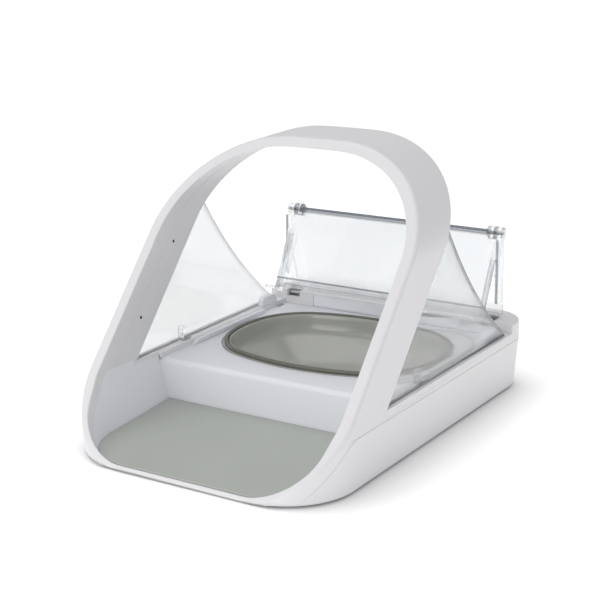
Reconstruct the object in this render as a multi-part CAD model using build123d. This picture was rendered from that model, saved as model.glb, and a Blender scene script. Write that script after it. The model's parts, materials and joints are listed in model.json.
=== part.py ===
from build123d import *
from math import atan2, cos, degrees, hypot, radians, sin, sqrt, tan
import os

# A microchip pet feeder, in millimetres. +Z is up, -Y is the front that the pet comes to,
# and the origin is on the floor under the middle of the body. The lid stands open.

# ---- overall body ----
WIDTH = 230.0
LENGTH = 318.0
HEIGHT = 212.0
HALF_WIDTH = WIDTH / 2
FRONT_Y = -LENGTH / 2
REAR_Y = LENGTH / 2
BASE_Z = 1.0              # underside of the tub, held off the floor by the feet
NOSE_HEIGHT = 1.2         # round nose under the slanted face
BOTTOM_ROUND = 4.0
PARTING_Z = 41.0          # joint line between tub and upper mouldings
STRIP_TOP = 48.0          # top of the side strips
BLOCK_TOP = 56.0          # top of the rear block
BLOCK_FRONT = REAR_Y - 33.5
BLOCK_ROUND = 2.5
BLOCK_CEILING = 1.3
BLOCK_SKIN = 2.0
SIDE_GAP = 0.4            # play between neighbours that pass each other
RIB_THICK = 1.6
RIB_LOW = 46.0
NOTCH_LOW = 50.5          # notches that the lid's arms pass through
NOTCH_REAR = 9.0
SIDE_DRAFT = 3.5          # the tub's sides lean in by this much at the bottom
REAR_DRAFT = 2.0
FRONT_CORNER_X = 57.0     # front corners are quarter ellipses in plan
FRONT_CORNER_Y = 51.0
REAR_CORNER = 27.0
WALL = 2.4
FLOOR = 2.4
SEAM_ROUND = 18.0         # bend of the joint line at the front
SEAM_SETBACK = 10.0       # joint line behind the face, measured level

# ---- hoop ----
FACE_ANGLE = 48.5
REAR_ANGLE = 48.5
HOOP_DEPTH = 46.0         # level depth at the floor
HOOP_RISE = 0.5           # the crown climbs rearward by this angle
HOOP_CORNER = 94.5
CROWN_RADIUS = 1110.0
BAND = 9.5                # width of the face band
INNER_CORNER = 84.5
HOOP_SKIN = 2.2
INNER_SEAM = 19.5         # seam on the inner wall, behind the face
LEG_SEAM_Z = 50.5         # seam between hoop and tray wall
IR_HOLE = 1.3
IR_HEIGHTS = (80.3, 130.2)
IR_SETBACK = 28.0         # sensor row behind the face, measured level
COIL_THICK = 1.6
COIL_DEPTH = 9.0
COIL_SETBACK = 8.0

# ---- tray, deck and mat ----
TRAY_HALF_LOW = HALF_WIDTH - 22.1  # at the floor level
TRAY_HALF_HIGH = HALF_WIDTH - BAND  # at the leg seam
TRAY_FRONT_LOW = FRONT_Y + 3.8
TRAY_FRONT_HIGH = FRONT_Y - 10.5
TRAY_CORNER_LOW = 41.5
TRAY_CORNER_HIGH = 32.0
TRAY_SKIN = 2.0
TRAY_SHELL = 1.5
TRAY_SLOPE = 3.55
LEDGE_Y = FRONT_Y + 113.5  # face of the wall between tray and deck
TRAY_REAR_Z = 9.7         # tray floor at that wall
MAT_THICK = 2.5
MAT_GAP = 0.5
DECK_Z = 44.0
DECK_THICK = 3.0
DECK_HALF = HALF_WIDTH - 6.5
DECK_REAR_GAP = 0.4
LEDGE_ROUND = 4.0
RIM_INNER = HALF_WIDTH - 14.0  # inner edge of the side strips
RAIL_INNER = RIM_INNER - 4.0
RAIL_START = FRONT_Y + 149.0
RAIL_END = REAR_Y - 69.0
FLANGE_SLOT_Y = REAR_Y - 43.0

# ---- bowl ----
BOWL_Y = (BLOCK_FRONT + LEDGE_Y) / 2 + 8.0
BOWL_HALF_X = RIM_INNER - 7.5
BOWL_HALF_Y = (BLOCK_FRONT - LEDGE_Y) / 2 - 17.5
BOWL_CORNER = BOWL_HALF_Y - 14.0
BOWL_LONG_RADIUS = 180.0
BOWL_SHORT_RADIUS = BOWL_HALF_X - 3.5
BOWL_GAP = 0.8
RECESS_DEPTH = 1.6
FLANGE_THICK = 1.6
BOWL_DEPTH = 32.3
BOWL_SKIN = 2.0
SEAL_WIDTH = 6.6
SEAL_HEIGHT = 1.4
WELL_SKIN = 1.8
SEAT_GAP = 0.3

# ---- lid ----
SHAFT_Y = REAR_Y - 28.0   # axis that lifts the lid
SHAFT_Z = 52.5
SHAFT_RADIUS = 1.5
FOLD_Y = REAR_Y - 21.0    # hinge between the two panels, lid open
FOLD_Z = 125.0
PIN_Y = REAR_Y - 52.0     # end pins of the front panel, lid open
PIN_Z = 62.5
PIN_RADIUS = 1.5
SHEET = 2.4
SHEET_OFFSET = 0.4        # the sheets lie just outside the fold axis
PANEL_FOOT_Y = REAR_Y - 23.0
PANEL_FOOT_Z = 58.5
REAR_HALF = RIM_INNER - 0.6
FRONT_HALF = REAR_HALF - 3.9
KNUCKLE_RADIUS = 5.3
KNUCKLE_SPLIT = REAR_HALF - 6.4  # front and rear knuckles meet here
KNUCKLE_INNER = KNUCKLE_SPLIT - 6.0
RUNNING_GAP = 0.2
HINGE_PIN_RADIUS = 1.25
FIT = 0.05                # radial clearance of every pin and shaft
TOP_BAR_RADIUS = 2.2
REAR_FLANGE = 8.0
FRONT_FLANGE = 5.0
FLANGE_THICK_X = 2.4
ARM_OUTER = REAR_HALF - 2.4
ARM_INNER = ARM_OUTER - 12.0
ARM_BOSS = 3.0

# ---- clear side plates, hooks and brackets ----
WING_INNER = HALF_WIDTH - 6.5
WING_OUTER = WING_INNER + 2.5
PIN_REACH = WING_INNER - 1.0
WING_TIP_Z = HEIGHT - 56.0
WING_WAIST = (66.0, 100.0)
WING_REAR_Y = REAR_Y - 41.0
WING_REAR_Z = 50.0
BEAD_SIZE = 1.6
BEAD_PROUD = 0.4
HOOK_Z = 51.0
HOOK_INNER = WING_INNER - 5.0
HOOK_THICK = 1.8
HOOK_GAP = 0.5
LOBE_INNER = RIM_INNER + 0.5
LOBE_OUTER = LOBE_INNER + 5.5
LOBE_FRONT = REAR_Y - 66.0
LOBE_REAR = REAR_Y - 45.0
LOBE_TOP = 55.6

# ---- rear wall plate ----
PLATE_HALF = HALF_WIDTH - 43.0
PLATE_THICK = 0.8
PLATE_LOW = 44.6
PLATE_HIGH = 54.6
SLOT_HALF = 1.1
SLOT_LOW = 46.0
SLOT_HIGH = 53.6

# ---- lid drive ----
GEAR_MODULE = 0.8
GEAR_TEETH = 26
PINION_TEETH = 9
CRANK_Y = REAR_Y - 44.0
CRANK_Z = 27.0
CRANK_THROW = 6.5
CRANK_START = 262.0       # angle of lever and crank, lid open
GEAR_INNER = RIM_INNER + 2.2
GEAR_WIDTH = 2.2
LINK_THICK = 1.6
LINK_HALF = 1.5
LINK_EYE = 2.2
LEVER_HUB = 2.0
DRIVE_PIN = 1.0
MOTOR_RADIUS = 8.0
MOTOR_LENGTH = 20.0
PLATE_X = RIM_INNER - 1.0  # standing plate that carries the gears
PLATE_X_THICK = 2.2

# ---- battery bay and electronics ----
CELL_RADIUS = 13.1
CELL_LENGTH = 50.0
CELL_Y = REAR_Y - 22.5
CELL_GAP = 0.3
BAY_WALL = 1.6
BAY_TOP = 31.4
DOOR_THICK = 1.2
DOOR_INNER = 6.0
DOOR_OUTER = RIM_INNER
DOOR_FRONT = BLOCK_FRONT
DOOR_REAR = DOOR_FRONT + 22.0
BOARD_THICK = 1.6
BUTTON_RADIUS = 3.2
BUTTON_XS = (55.0 - HALF_WIDTH, 77.0 - HALF_WIDTH)
BUTTON_Z = 36.5
BUTTON_TRAVEL = 1.2

# ---- feet and screws ----
FOOT_RADIUS = 7.0
FOOT_X = HALF_WIDTH - 27.0
FOOT_YS = (FRONT_Y + 59.0, REAR_Y - 49.0)
POST_RADIUS = 3.5
POST_TOP = 30.0
POST_X = HALF_WIDTH - 11.0
POST_YS = (FRONT_Y + 129.0, REAR_Y - 89.0)
SCREW_RADIUS = 1.4
SCREW_HEAD = 2.6

# ---- small sizes ----
WELL_INSET = 5.5
WELL_FLOOR_Z = 8.0
WELL_BEND_Z = 28.0
WELL_BEND_IN = 2.5
WELL_FLOOR_IN = 18.0
BOWL_MOUTH = 8.2
BOWL_LEDGE_Z = 31.0       # step inside the bowl's wall
BOWL_LEDGE_IN = 2.8
BOWL_LEDGE_WIDTH = 4.0
BOWL_LEDGE_FALL = 1.0
BOWL_FLOOR_IN = 28.0
SEAL_INSET = 0.6
SEAL_ROUND = 0.5
SLOT_RUN = 5.0
LINK_NOTCH = 1.6
TRAY_FLOOR_END = FRONT_Y + 47.0
HEAD_SEAT_Z = 2.6
SCREW_TIP_Z = 38.0
DOOR_LIP = 3.0
DOOR_SEAT_Z = 2.5
MIDDLE_WALL = 0.8
CONTACT_THICK = 0.5
CELL_CAP = 1.5
GEAR_PLATE_MARGIN = 6.0
AXLE_RADIUS = 1.5
MOTOR_BOSS = 3.0
MOTOR_START = PLATE_X - 21.0
PLATE_GAP = 0.15
RAIL_DROP = 0.2
LOBE_ROUND = 5.0
FOOT_FLANGE = 1.4
HOOK_TAIL = 7.0
FLANGE_LIFT = 11.0
SHEET_START = 0.5         # where the rear sheet joins its top bar
PEG_REACH = 33.0
PEG_RADIUS = 1.4
PEG_INSET = 1.5
PEG_PROUD = 1.0
FOOT_BAR = 3.0            # bar along the front panel's foot
FOOT_BAR_INSIDE = 1.2
FOOT_BAR_OUTSIDE = 0.6
FOOT_BEAD = (8.0, 6.5)    # second bead, distances from the foot
SHAFT_END = RIM_INNER + 0.5
IR_STRIP_HALF = 2.5
IR_STRIP_OVERRUN = 5.0
IR_STRIP_THICK = 1.0
IR_RECESS = 0.2
CONTACT_MARGIN = 2.0
GROOVE_HALF = 8.0
GROOVE_PLACE = (3.0, 5.0)
GROOVE_DEPTH = 0.6
BUTTON_FLANGE = 1.2
WINDOW_BACK = 1.0
FOOT_FLANGE_OUT = 1.0
SWITCH_HALF = 3.0
SWITCH_DEPTH = 4.0
SWITCH_RISE = 2.5
CHIP_X = (23.0 - HALF_WIDTH, 35.0 - HALF_WIDTH)
CHIP_Y = (REAR_Y - 22.0, REAR_Y - 10.0)
CHIP_HEIGHT = 1.2
PLUG_X = (87.0 - HALF_WIDTH, 93.0 - HALF_WIDTH)
PLUG_Y = (REAR_Y - 25.0, REAR_Y - 13.0)
PLUG_HEIGHT = 4.0
SOUNDER_PLACE = (43.0 - HALF_WIDTH, REAR_Y - 18.0)
SOUNDER_RADIUS = 6.0
ROOT_DEPTH = 1.2          # gear teeth, in modules and in parts of the pitch
TIP_HEIGHT = 0.9
ROOT_HALF = 0.33
TIP_HALF = 0.1
BOARD_X = (21.0 - HALF_WIDTH, 95.0 - HALF_WIDTH)
BOARD_Y = (REAR_Y - 37.4, REAR_Y - 7.6)
SWITCH_FACE = REAR_Y - 8.5
BUTTON_FACE = REAR_Y - 0.6

BIG = 900.0               # half-spaces are blocks of this size

FLOOR_TOP = BASE_Z + FLOOR
NOSE_RUN = BOTTOM_ROUND - sqrt(BOTTOM_ROUND**2 - (BOTTOM_ROUND - NOSE_HEIGHT) ** 2)
FACE_FOOT_Z = BASE_Z + NOSE_HEIGHT
RECESS_Z = DECK_Z - RECESS_DEPTH
FLANGE_Z = RECESS_Z + SEAT_GAP
CELL_Z = FLOOR_TOP + CELL_GAP + CELL_RADIUS
CELL_ROW_END = MIDDLE_WALL + CONTACT_THICK + 2 * CELL_LENGTH
FOOT_SPOTS = [(x, y) for y in FOOT_YS for x in (-FOOT_X, FOOT_X)]
POST_SPOTS = [(x, y) for y in POST_YS for x in (-POST_X, POST_X)]
PINION_Y = CRANK_Y - GEAR_MODULE * (GEAR_TEETH + PINION_TEETH) / 2
DRIVE_END = GEAR_INNER + GEAR_WIDTH + RUNNING_GAP + LINK_THICK + SIDE_GAP


# ---- small tools ----


def block(x_span, y_span, z_span):
    """A box between two places on each axis."""
    size = [span[1] - span[0] for span in (x_span, y_span, z_span)]
    centre = [(span[1] + span[0]) / 2 for span in (x_span, y_span, z_span)]
    return Pos(*centre) * Box(*size)


def prism_x(points, x_start, x_end):
    """A solid of one side-view outline, given as (y, z) points, between two places on X."""
    outline = make_face(Polyline(*points, close=True))
    return extrude(Plane.YZ.offset(x_start) * outline, x_end - x_start)


def rod_x(radius, x_start, x_end, y, z):
    """A round rod along X."""
    rod = Cylinder(radius, x_end - x_start, align=(Align.CENTER, Align.CENTER, Align.MIN))
    return Pos(x_start, y, z) * Rot(0, 90, 0) * rod


def rod_z(radius, x, y, z_start, z_end):
    """An upright round rod."""
    rod = Cylinder(radius, z_end - z_start, align=(Align.CENTER, Align.CENTER, Align.MIN))
    return Pos(x, y, z_start) * rod


def both_sides(piece):
    """The piece and its mirror image on the other side."""
    return piece + mirror(piece, about=Plane.YZ)


def tilted_plane(y, z, angle):
    """A plane through (y, z) that climbs rearward; its normal points forward and up."""
    normal = (0, -sin(radians(angle)), cos(radians(angle)))
    return Plane(origin=(0, y, z), x_dir=(1, 0, 0), z_dir=normal)


def ahead_of(plane):
    """Everything on the normal's side of a plane."""
    return plane * Box(BIG, BIG, BIG, align=(Align.CENTER, Align.CENTER, Align.MIN))


def behind(plane):
    """Everything on the far side of a plane."""
    return plane * Box(BIG, BIG, BIG, align=(Align.CENTER, Align.CENTER, Align.MAX))


def above(z):
    """Everything over a height."""
    return ahead_of(Plane.XY.offset(z))


# ---- planes of the hoop ----

FACE = tilted_plane(FRONT_Y, FACE_FOOT_Z, FACE_ANGLE)
FACE_BACK = FACE.offset(-HOOP_SKIN)
SEAM_PLANE = tilted_plane(FRONT_Y + SEAM_SETBACK, FACE_FOOT_Z, FACE_ANGLE)
INNER_SEAM_PLANE = tilted_plane(FRONT_Y + INNER_SEAM, FACE_FOOT_Z, FACE_ANGLE)
HOOP_REAR = tilted_plane(FRONT_Y + HOOP_DEPTH, 0, REAR_ANGLE)
HOOP_REAR_INSIDE = HOOP_REAR.offset(HOOP_SKIN)
HOOP_DIRECTION = (0, cos(radians(HOOP_RISE)), sin(radians(HOOP_RISE)))


def crown_slope_length():
    """Slope length up the face to the crown, so that its rear edge is at the full height."""
    rear_y = FRONT_Y + HOOP_DEPTH + HEIGHT / tan(radians(REAR_ANGLE))
    run = rear_y - FRONT_Y + FACE_FOOT_Z / tan(radians(FACE_ANGLE))
    rise = tan(radians(HOOP_RISE))
    front_z = (HEIGHT - run * rise) / (1 - rise / tan(radians(FACE_ANGLE)))
    return (front_z - FACE_FOOT_Z) / sin(radians(FACE_ANGLE))


CROWN = crown_slope_length()


def arch(inset, corner):
    """The hoop's outline on its slanted face, open length at the bottom closed by a line."""
    half = HALF_WIDTH - inset
    top = CROWN - inset
    crown_radius = CROWN_RADIUS - inset
    corner_x = half - corner
    crown_centre = top - crown_radius
    corner_s = crown_centre + sqrt((crown_radius - corner) ** 2 - corner_x**2)
    bend = degrees(atan2(corner_s - crown_centre, corner_x))
    edges = [
        Line((-half, 0), (half, 0)),
        Line((half, 0), (half, corner_s)),
        CenterArc((corner_x, corner_s), corner, 0, bend),
        CenterArc((0, crown_centre), crown_radius, bend, 180 - 2 * bend),
        CenterArc((-corner_x, corner_s), corner, 180 - bend, bend),
        Line((-half, corner_s), (-half, 0)),
    ]
    return make_face(edges)


def hoop_prism(inset, corner):
    """The hoop's outline carried rearward from its face."""
    return extrude(FACE * arch(inset, corner), amount=HOOP_DEPTH * 3, dir=HOOP_DIRECTION)


# ---- the body's outer shape ----


def plan(half, front, rear, corner, rear_corner):
    """Plan outline: elliptical front corners, given as (x, y) radii, and round rear ones."""
    corner_x, corner_y = corner
    edges = [Line((-half + corner_x, front), (half - corner_x, front))]
    edges.append(EllipticalCenterArc((half - corner_x, front + corner_y), corner_x, corner_y, 270, arc_size=90))
    edges.append(Line((half, front + corner_y), (half, rear - rear_corner)))
    edges.append(CenterArc((half - rear_corner, rear - rear_corner), rear_corner, 0, 90))
    edges.append(Line((half - rear_corner, rear), (-half + rear_corner, rear)))
    edges.append(CenterArc((-half + rear_corner, rear - rear_corner), rear_corner, 90, 90))
    edges.append(Line((-half, rear - rear_corner), (-half, front + corner_y)))
    edges.append(EllipticalCenterArc((-half + corner_x, front + corner_y), corner_x, corner_y, 180, arc_size=90))
    return make_face(edges)


def body_plan(z, inset):
    """The body's plan at a height, drawn in by an inset."""
    lean = max(0, (PARTING_Z - z) / (PARTING_Z - BASE_Z))
    corner = (FRONT_CORNER_X - inset, FRONT_CORNER_Y - inset)
    half = HALF_WIDTH - SIDE_DRAFT * lean - inset
    front = FRONT_Y - NOSE_RUN + inset
    rear = REAR_Y - REAR_DRAFT * lean - inset
    return Plane.XY.offset(z) * plan(half, front, rear, corner, REAR_CORNER - inset)


def lower_body(inset, bottom):
    """The body from a height up to the joint line."""
    return loft([body_plan(bottom, inset), body_plan(PARTING_Z, inset)], ruled=True)


def upper_body(inset, top):
    """The body from the joint line up to a height, with upright sides."""
    return extrude(body_plan(PARTING_Z, inset), top - PARTING_Z)


def outer_body():
    """The closed outer shape of base and side strips, cut by the slanted face."""
    low = lower_body(0, BASE_Z)
    low = fillet(low.faces().sort_by(Axis.Z)[0].edges(), BOTTOM_ROUND)
    return low + upper_body(0, STRIP_TOP) - ahead_of(FACE)


def tub_side():
    """The space on the tub's side of the joint line, which turns down behind the face."""
    slope = tan(radians(FACE_ANGLE))
    corner = (FRONT_Y + SEAM_SETBACK + (PARTING_Z - FACE_FOOT_Z) / slope, PARTING_Z)
    foot = (FRONT_Y + SEAM_SETBACK - FACE_FOOT_Z / slope, 0)
    turn = radians(180 - FACE_ANGLE) / 2
    reach = SEAM_ROUND / tan(turn)
    start = (corner[0] - reach * cos(radians(FACE_ANGLE)), corner[1] - reach * sin(radians(FACE_ANGLE)))
    finish = (corner[0] + reach, PARTING_Z)
    edges = [
        Line(foot, start),
        RadiusArc(start, finish, SEAM_ROUND),
        Line(finish, (LENGTH, PARTING_Z)),
        Line((LENGTH, PARTING_Z), (LENGTH, 0)),
        Line((LENGTH, 0), foot),
    ]
    return extrude(Plane.YZ.offset(-WIDTH) * make_face(edges), 2 * WIDTH)


def tray_space(grow):
    """The tray's hollow, widening upwards, grown by a skin."""
    low = plan(
        TRAY_HALF_LOW + grow,
        TRAY_FRONT_LOW - grow,
        0,
        (TRAY_CORNER_LOW + grow, TRAY_CORNER_LOW + grow),
        FRONT_CORNER_Y,
    )
    high = plan(
        TRAY_HALF_HIGH + grow,
        TRAY_FRONT_HIGH - grow,
        0,
        (TRAY_CORNER_HIGH + grow, TRAY_CORNER_HIGH + grow),
        FRONT_CORNER_Y,
    )
    funnel = loft([low, Plane.XY.offset(LEG_SEAM_Z) * high], ruled=True)
    return funnel - block((-WIDTH, WIDTH), (LEDGE_Y, LENGTH), (-BIG, BIG))


def tray_floor(lift):
    """The sloping plane of the tray's floor, lifted by a height."""
    return tilted_plane(LEDGE_Y, TRAY_REAR_Z + lift, TRAY_SLOPE)


def tray_hollow():
    """The tray's hollow over its floor."""
    return tray_space(0) & ahead_of(tray_floor(0))


# ---- the white mouldings ----


def make_hoop_wall():
    """Face, outer wall and front half of the inner wall of the hoop, as a channel open at the rear."""
    column = extrude(body_plan(PARTING_Z, 0), 2 * HEIGHT)
    hoop = hoop_prism(0, HOOP_CORNER) & column
    hoop = hoop & ahead_of(HOOP_REAR)
    inside = hoop_prism(HOOP_SKIN, HOOP_CORNER - HOOP_SKIN)
    lining = hoop_prism(BAND - HOOP_SKIN, INNER_CORNER + HOOP_SKIN)
    opening = hoop_prism(BAND, INNER_CORNER)
    channel = (inside - lining) & behind(FACE_BACK)
    rear_half = inside & behind(INNER_SEAM_PLANE)
    leg_foot = (inside & behind(SEAM_PLANE)) - above(LEG_SEAM_Z)
    upper = (channel + rear_half + opening) & above(LEG_SEAM_Z)
    return hoop - upper - leg_foot


def make_hoop_cover():
    """Rear face of the hoop and the rear half of its inner wall."""
    inside = hoop_prism(HOOP_SKIN, HOOP_CORNER - HOOP_SKIN) & behind(INNER_SEAM_PLANE)
    lining = hoop_prism(BAND - HOOP_SKIN, INNER_CORNER + HOOP_SKIN)
    opening = hoop_prism(BAND, INNER_CORNER)
    ring = (inside - opening) & ahead_of(HOOP_REAR) & above(STRIP_TOP)
    channel = (inside - lining) & ahead_of(HOOP_REAR_INSIDE)
    leg_foot = ahead_of(HOOP_REAR_INSIDE) - above(LEG_SEAM_Z)
    cover = ring - channel - leg_foot
    for y, z in ir_places():
        cover -= rod_x(IR_HOLE, -HALF_WIDTH + HOOP_SKIN, HALF_WIDTH - HOOP_SKIN, y, z)
    return cover


def ir_places():
    """Side-view places of the sensors on the hoop's legs."""
    slope = tan(radians(FACE_ANGLE))
    return [(FRONT_Y + IR_SETBACK + (z - FACE_FOOT_Z) / slope, z) for z in IR_HEIGHTS]


def make_rear_block():
    """Hollow block across the rear that houses the lid shaft."""
    solid = upper_body(0, BLOCK_TOP)
    solid = fillet(solid.faces().sort_by(Axis.Z)[-1].edges(), BLOCK_ROUND)
    solid = solid & block((-WIDTH, WIDTH), (BLOCK_FRONT, LENGTH), (0, HEIGHT))
    hollow = upper_body(WALL, BLOCK_TOP - BLOCK_CEILING)
    hollow = hollow & block((-WIDTH, WIDTH), (BLOCK_FRONT + BLOCK_SKIN, LENGTH), (0, HEIGHT))
    shell = solid - hollow
    shell -= both_sides(
        block(
            (RIM_INNER + SIDE_GAP, HALF_WIDTH - WALL),
            (BLOCK_FRONT, BLOCK_FRONT + BLOCK_SKIN),
            (0, STRIP_TOP - WALL),
        )
    )
    for x in (ARM_INNER - RIB_THICK - SIDE_GAP, ARM_OUTER + SIDE_GAP):
        rib_depth = (BLOCK_FRONT + BLOCK_SKIN, SHAFT_Y + 3 * SHAFT_RADIUS)
        rib = block((x, x + RIB_THICK), rib_depth, (RIB_LOW, BLOCK_TOP - BLOCK_CEILING))
        shell += both_sides(rib)
    shell -= rod_x(SHAFT_RADIUS + FIT, -HALF_WIDTH + WALL, HALF_WIDTH - WALL, SHAFT_Y, SHAFT_Z)
    notch = block(
        (ARM_INNER - SIDE_GAP, ARM_OUTER + SIDE_GAP),
        (BLOCK_FRONT - 1, SHAFT_Y + NOTCH_REAR),
        (NOTCH_LOW, HEIGHT),
    )
    shell -= both_sides(notch)
    recess = block(
        (-PLATE_HALF, PLATE_HALF), (BLOCK_FRONT, BLOCK_FRONT + PLATE_THICK), (PLATE_LOW, PLATE_HIGH)
    )
    slot = block((-SLOT_HALF, SLOT_HALF), (BLOCK_FRONT, BLOCK_FRONT + BLOCK_SKIN), (SLOT_LOW, SLOT_HIGH))
    return shell - recess - slot


def make_side_strips():
    """Both side strips: outer wall, top and the step down to the deck."""
    front = -HALF_WIDTH
    wall = block((HALF_WIDTH - WALL, HALF_WIDTH), (front, BLOCK_FRONT), (PARTING_Z, STRIP_TOP))
    top = block((RIM_INNER, HALF_WIDTH), (front, BLOCK_FRONT), (STRIP_TOP - WALL, STRIP_TOP))
    step = block((RIM_INNER, RIM_INNER + TRAY_SKIN), (LEDGE_Y, BLOCK_FRONT), (DECK_Z, STRIP_TOP))
    strips = both_sides(wall + top + step)
    return strips - ahead_of(HOOP_REAR_INSIDE)


def make_outer_frame(body, hollow, walls):
    """Hoop face and outer wall, lower face ring, side strips and rear block in one moulding."""
    ring = body - tub_side() - upper_body(0, HEIGHT) - behind(SEAM_PLANE)
    skirt = body - tub_side() - upper_body(0, HEIGHT) - ahead_of(SEAM_PLANE)
    skirt = skirt - lower_body(WALL, BASE_Z)
    collar = (upper_body(0, LEG_SEAM_Z) - ahead_of(FACE)) - behind(SEAM_PLANE)
    side = (upper_body(0, LEG_SEAM_Z) - upper_body(HOOP_SKIN, LEG_SEAM_Z)) & behind(SEAM_PLANE)
    side = side & ahead_of(HOOP_REAR)
    frame = make_hoop_wall() + ring + skirt + collar + side + make_side_strips() + make_rear_block()
    return frame - hollow - walls


def make_tray_walls():
    """Floor and side walls of the tray as one dished skin."""
    skin = tray_space(TRAY_SKIN) & ahead_of(tray_floor(-TRAY_SHELL))
    skin = skin & behind(SEAM_PLANE)
    skin = skin - (tray_space(0) & ahead_of(tray_floor(0)))
    return skin - (above(STRIP_TOP - WALL) & behind(HOOP_REAR_INSIDE))


def oval(inset):
    """The bowl's outline in plan: four bowed sides and four tighter corners, drawn in by an inset."""
    long_centre = BOWL_HALF_Y - BOWL_LONG_RADIUS
    short_centre = BOWL_HALF_X - BOWL_SHORT_RADIUS
    long_reach = BOWL_LONG_RADIUS - BOWL_CORNER
    short_reach = BOWL_SHORT_RADIUS - BOWL_CORNER
    span = hypot(short_centre, long_centre)
    along = (long_reach**2 - short_reach**2 + span**2) / (2 * span)
    across = sqrt(long_reach**2 - along**2)
    ux, uy = short_centre / span, -long_centre / span
    corner_x = ux * along + uy * across
    corner_y = long_centre + uy * along - ux * across
    steep = degrees(atan2(corner_y - long_centre, corner_x))
    flat = degrees(atan2(corner_y, corner_x - short_centre))
    radius = BOWL_CORNER - inset
    edges = []
    for turn in (0, 180):
        spin = Rot(0, 0, turn)
        edges.append(spin * CenterArc((short_centre, 0), BOWL_SHORT_RADIUS - inset, -flat, 2 * flat))
        edges.append(spin * CenterArc((corner_x, corner_y), radius, flat, steep - flat))
        edges.append(spin * CenterArc((-corner_x, corner_y), radius, 180 - steep, steep - flat))
        long_arc = CenterArc((0, long_centre), BOWL_LONG_RADIUS - inset, steep, 180 - 2 * steep)
        edges.append(spin * long_arc)
    return Pos(0, BOWL_Y, 0) * make_face(edges)


def oval_dish(steps):
    """A solid through ovals, each step given as (inset, height)."""
    return loft([Plane.XY.offset(z) * oval(inset) for inset, z in steps], ruled=True)


def make_tray_deck():
    """Tray, ledge wall, deck and bowl well in one moulding."""
    rear = BLOCK_FRONT - DECK_REAR_GAP
    low = TRAY_REAR_Z - TRAY_SHELL
    edges = [
        Line((LEDGE_Y, low), (LEDGE_Y, DECK_Z - LEDGE_ROUND)),
        CenterArc((LEDGE_Y + LEDGE_ROUND, DECK_Z - LEDGE_ROUND), LEDGE_ROUND, 90, 90),
        Line((LEDGE_Y + LEDGE_ROUND, DECK_Z), (rear, DECK_Z)),
        Line((rear, DECK_Z), (rear, DECK_Z - DECK_THICK)),
        Line((rear, DECK_Z - DECK_THICK), (LEDGE_Y + TRAY_SKIN, DECK_Z - DECK_THICK)),
        Line((LEDGE_Y + TRAY_SKIN, DECK_Z - DECK_THICK), (LEDGE_Y + TRAY_SKIN, low)),
        Line((LEDGE_Y + TRAY_SKIN, low), (LEDGE_Y, low)),
    ]
    deck = extrude(Plane.YZ.offset(-DECK_HALF) * make_face(edges), 2 * DECK_HALF)
    deck = deck + make_tray_walls()
    for x, y in POST_SPOTS:
        deck += rod_z(POST_RADIUS, x, y, POST_TOP, DECK_Z - DECK_THICK)
    well_steps = [
        (WELL_INSET + WELL_BEND_IN, WELL_BEND_Z),
        (WELL_INSET + WELL_FLOOR_IN, WELL_FLOOR_Z),
    ]
    skin_steps = [(inset - WELL_SKIN, z - WELL_SKIN) for inset, z in well_steps]
    deck += oval_dish([(WELL_INSET - WELL_SKIN, RECESS_Z)] + skin_steps)
    deck -= oval_dish([(WELL_INSET, RECESS_Z)] + well_steps)
    deck -= extrude(Plane.XY.offset(RECESS_Z) * oval(-BOWL_GAP), RECESS_DEPTH)
    slot = block(
        (REAR_HALF - FLANGE_THICK_X - SIDE_GAP, RIM_INNER),
        (FLANGE_SLOT_Y - SLOT_RUN, FLANGE_SLOT_Y + SLOT_RUN),
        (DECK_Z - DECK_THICK, DECK_Z),
    )
    deck -= both_sides(slot)
    deck -= block((LOBE_INNER, DECK_HALF), (rear - LINK_NOTCH, rear), (0, DECK_Z))
    for x, y in POST_SPOTS:
        deck -= rod_z(SCREW_RADIUS + FIT, x, y, POST_TOP, SCREW_TIP_Z + SIDE_GAP)
    return deck


def make_base_tub(body):
    """Lower moulding with posts, battery bay, gear plate and motor cradle."""
    tub = body & tub_side()
    tub -= lower_body(WALL, FLOOR_TOP)
    tub -= tray_space(TRAY_SKIN) - block((-WIDTH, WIDTH), (TRAY_FLOOR_END, LENGTH), (-BIG, BIG))
    for x, y in POST_SPOTS:
        tub += rod_z(POST_RADIUS, x, y, FLOOR_TOP, POST_TOP)
        tub -= rod_z(SCREW_RADIUS + SIDE_GAP, x, y, BASE_Z, POST_TOP)
        tub -= rod_z(SCREW_HEAD + SIDE_GAP, x, y, BASE_Z, HEAD_SEAT_Z)
    tub += make_battery_bay()
    tub += make_gear_plate()
    for x in BUTTON_XS:
        hole = Pos(x, REAR_Y, BUTTON_Z) * Rot(90, 0, 0) * Cylinder(BUTTON_RADIUS + SIDE_GAP, 4 * WALL)
        tub -= hole
    for side in (-1, 1):
        doorway = block(door_span(side, DOOR_LIP), door_depth(DOOR_LIP), (BASE_Z, FLOOR_TOP))
        recess = block(door_span(side, -SIDE_GAP), door_depth(-SIDE_GAP), (BASE_Z, DOOR_SEAT_Z))
        tub = tub - doorway - recess
    return tub


def door_span(side, inset):
    """X span of a battery door on one side, drawn in by an inset."""
    span = (DOOR_INNER + inset, DOOR_OUTER - inset)
    return span if side > 0 else (-span[1], -span[0])


def door_depth(inset):
    """Y span of the battery doors, drawn in by an inset."""
    return (DOOR_FRONT + inset, DOOR_REAR - inset)


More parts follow.
